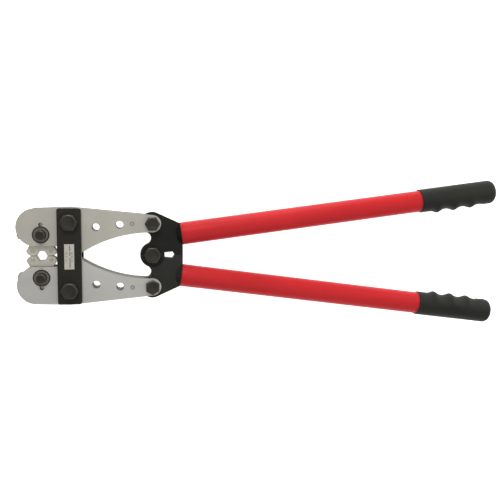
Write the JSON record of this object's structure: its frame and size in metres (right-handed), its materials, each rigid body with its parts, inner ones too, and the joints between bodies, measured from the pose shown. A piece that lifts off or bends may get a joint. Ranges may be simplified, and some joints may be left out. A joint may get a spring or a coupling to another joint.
{
  "type": "crimping tool",
  "caption": "Long-handled compound-lever crimping tool with bolted jaws, rotary hexagon dies, red tube handles and black finger grips.",
  "frame": {"origin": "middle of the tool's outline, on the plane of the two lowest bolt ends", "axes": "+X from the jaws to the grips along the centre line, +Y towards the upper jaw, +Z out of the face with the bolt heads"},
  "size_m": [0.65, 0.203, 0.0564],
  "materials": {
    "jaw_steel": "satin nickel plate",
    "core_steel": "satin",
    "die_steel": "fine ground",
    "bright_steel": "bright",
    "black_steel": "satin black",
    "black_fastener": "black oxide",
    "red_paint": "gloss red",
    "grip_rubber": "matt",
    "label_film": "satin"
  },
  "bodies": {
    "head": {"front_plate": "black_steel", "rear_plate": "black_steel", "label_plate": "label_film", "upper_plate_bolt": "black_fastener", "lower_plate_bolt": "black_fastener", "upper_plate_nut": "black_fastener", "lower_plate_nut": "black_fastener"},
    "upper_jaw": {"upper_front_cheek": "jaw_steel", "upper_rear_cheek": "jaw_steel", "upper_jaw_core": "core_steel", "upper_rivet": "bright_steel", "upper_die": "die_steel", "upper_die_pin": "black_fastener", "upper_die_clip": "bright_steel", "upper_index_ball": "bright_steel", "upper_index_spring": "bright_steel", "upper_index_screw": "black_fastener", "upper_lever_bolt": "black_fastener", "upper_lever_nut": "black_fastener"},
    "lower_jaw": {"lower_front_cheek": "jaw_steel", "lower_rear_cheek": "jaw_steel", "lower_jaw_core": "core_steel", "lower_rivet": "bright_steel", "lower_die": "die_steel", "lower_die_pin": "black_fastener", "lower_die_clip": "bright_steel", "lower_index_ball": "bright_steel", "lower_index_spring": "bright_steel", "lower_index_screw": "black_fastener", "lower_lever_bolt": "black_fastener", "lower_lever_nut": "black_fastener"},
    "upper_handle": {"upper_lever": "black_steel", "upper_tube": "red_paint", "upper_grip": "grip_rubber", "hub_bolt": "black_fastener", "hub_nut": "black_fastener"},
    "lower_handle": {"lower_lever": "black_steel", "lower_tube": "red_paint", "lower_grip": "grip_rubber"}
  },
  "joints": [
    {"name": "upper_jaw_pivot", "type": "hinge", "parent": "head", "child": "upper_jaw", "pos_m": [-0.25956, 0.0432, 0.0297], "axis": [0, 0, -1], "range_deg": [0, 8.95]},
    {"name": "lower_jaw_pivot", "type": "hinge", "parent": "head", "child": "lower_jaw", "pos_m": [-0.25956, -0.0432, 0.0297], "axis": [0, 0, 1], "range_deg": [0, 8.95]},
    {"name": "upper_lever_pivot", "type": "hinge", "parent": "upper_jaw", "child": "upper_handle", "pos_m": [-0.15556, 0.0412, 0.0297], "axis": [0, 0, 1], "range_deg": [0, 61.45]},
    {"name": "hub_pivot", "type": "hinge", "parent": "upper_handle", "child": "lower_handle", "pos_m": [-0.15556, 0, 0.0297], "axis": [0, 0, -1], "range_deg": [0, 105]}
  ],
  "couplings": [
    {"joint": "upper_jaw_pivot", "follows": "hub_pivot", "ratio": 0.085045},
    {"joint": "lower_jaw_pivot", "follows": "hub_pivot", "ratio": 0.085045},
    {"joint": "upper_lever_pivot", "follows": "hub_pivot", "ratio": 0.58505}
  ]
}
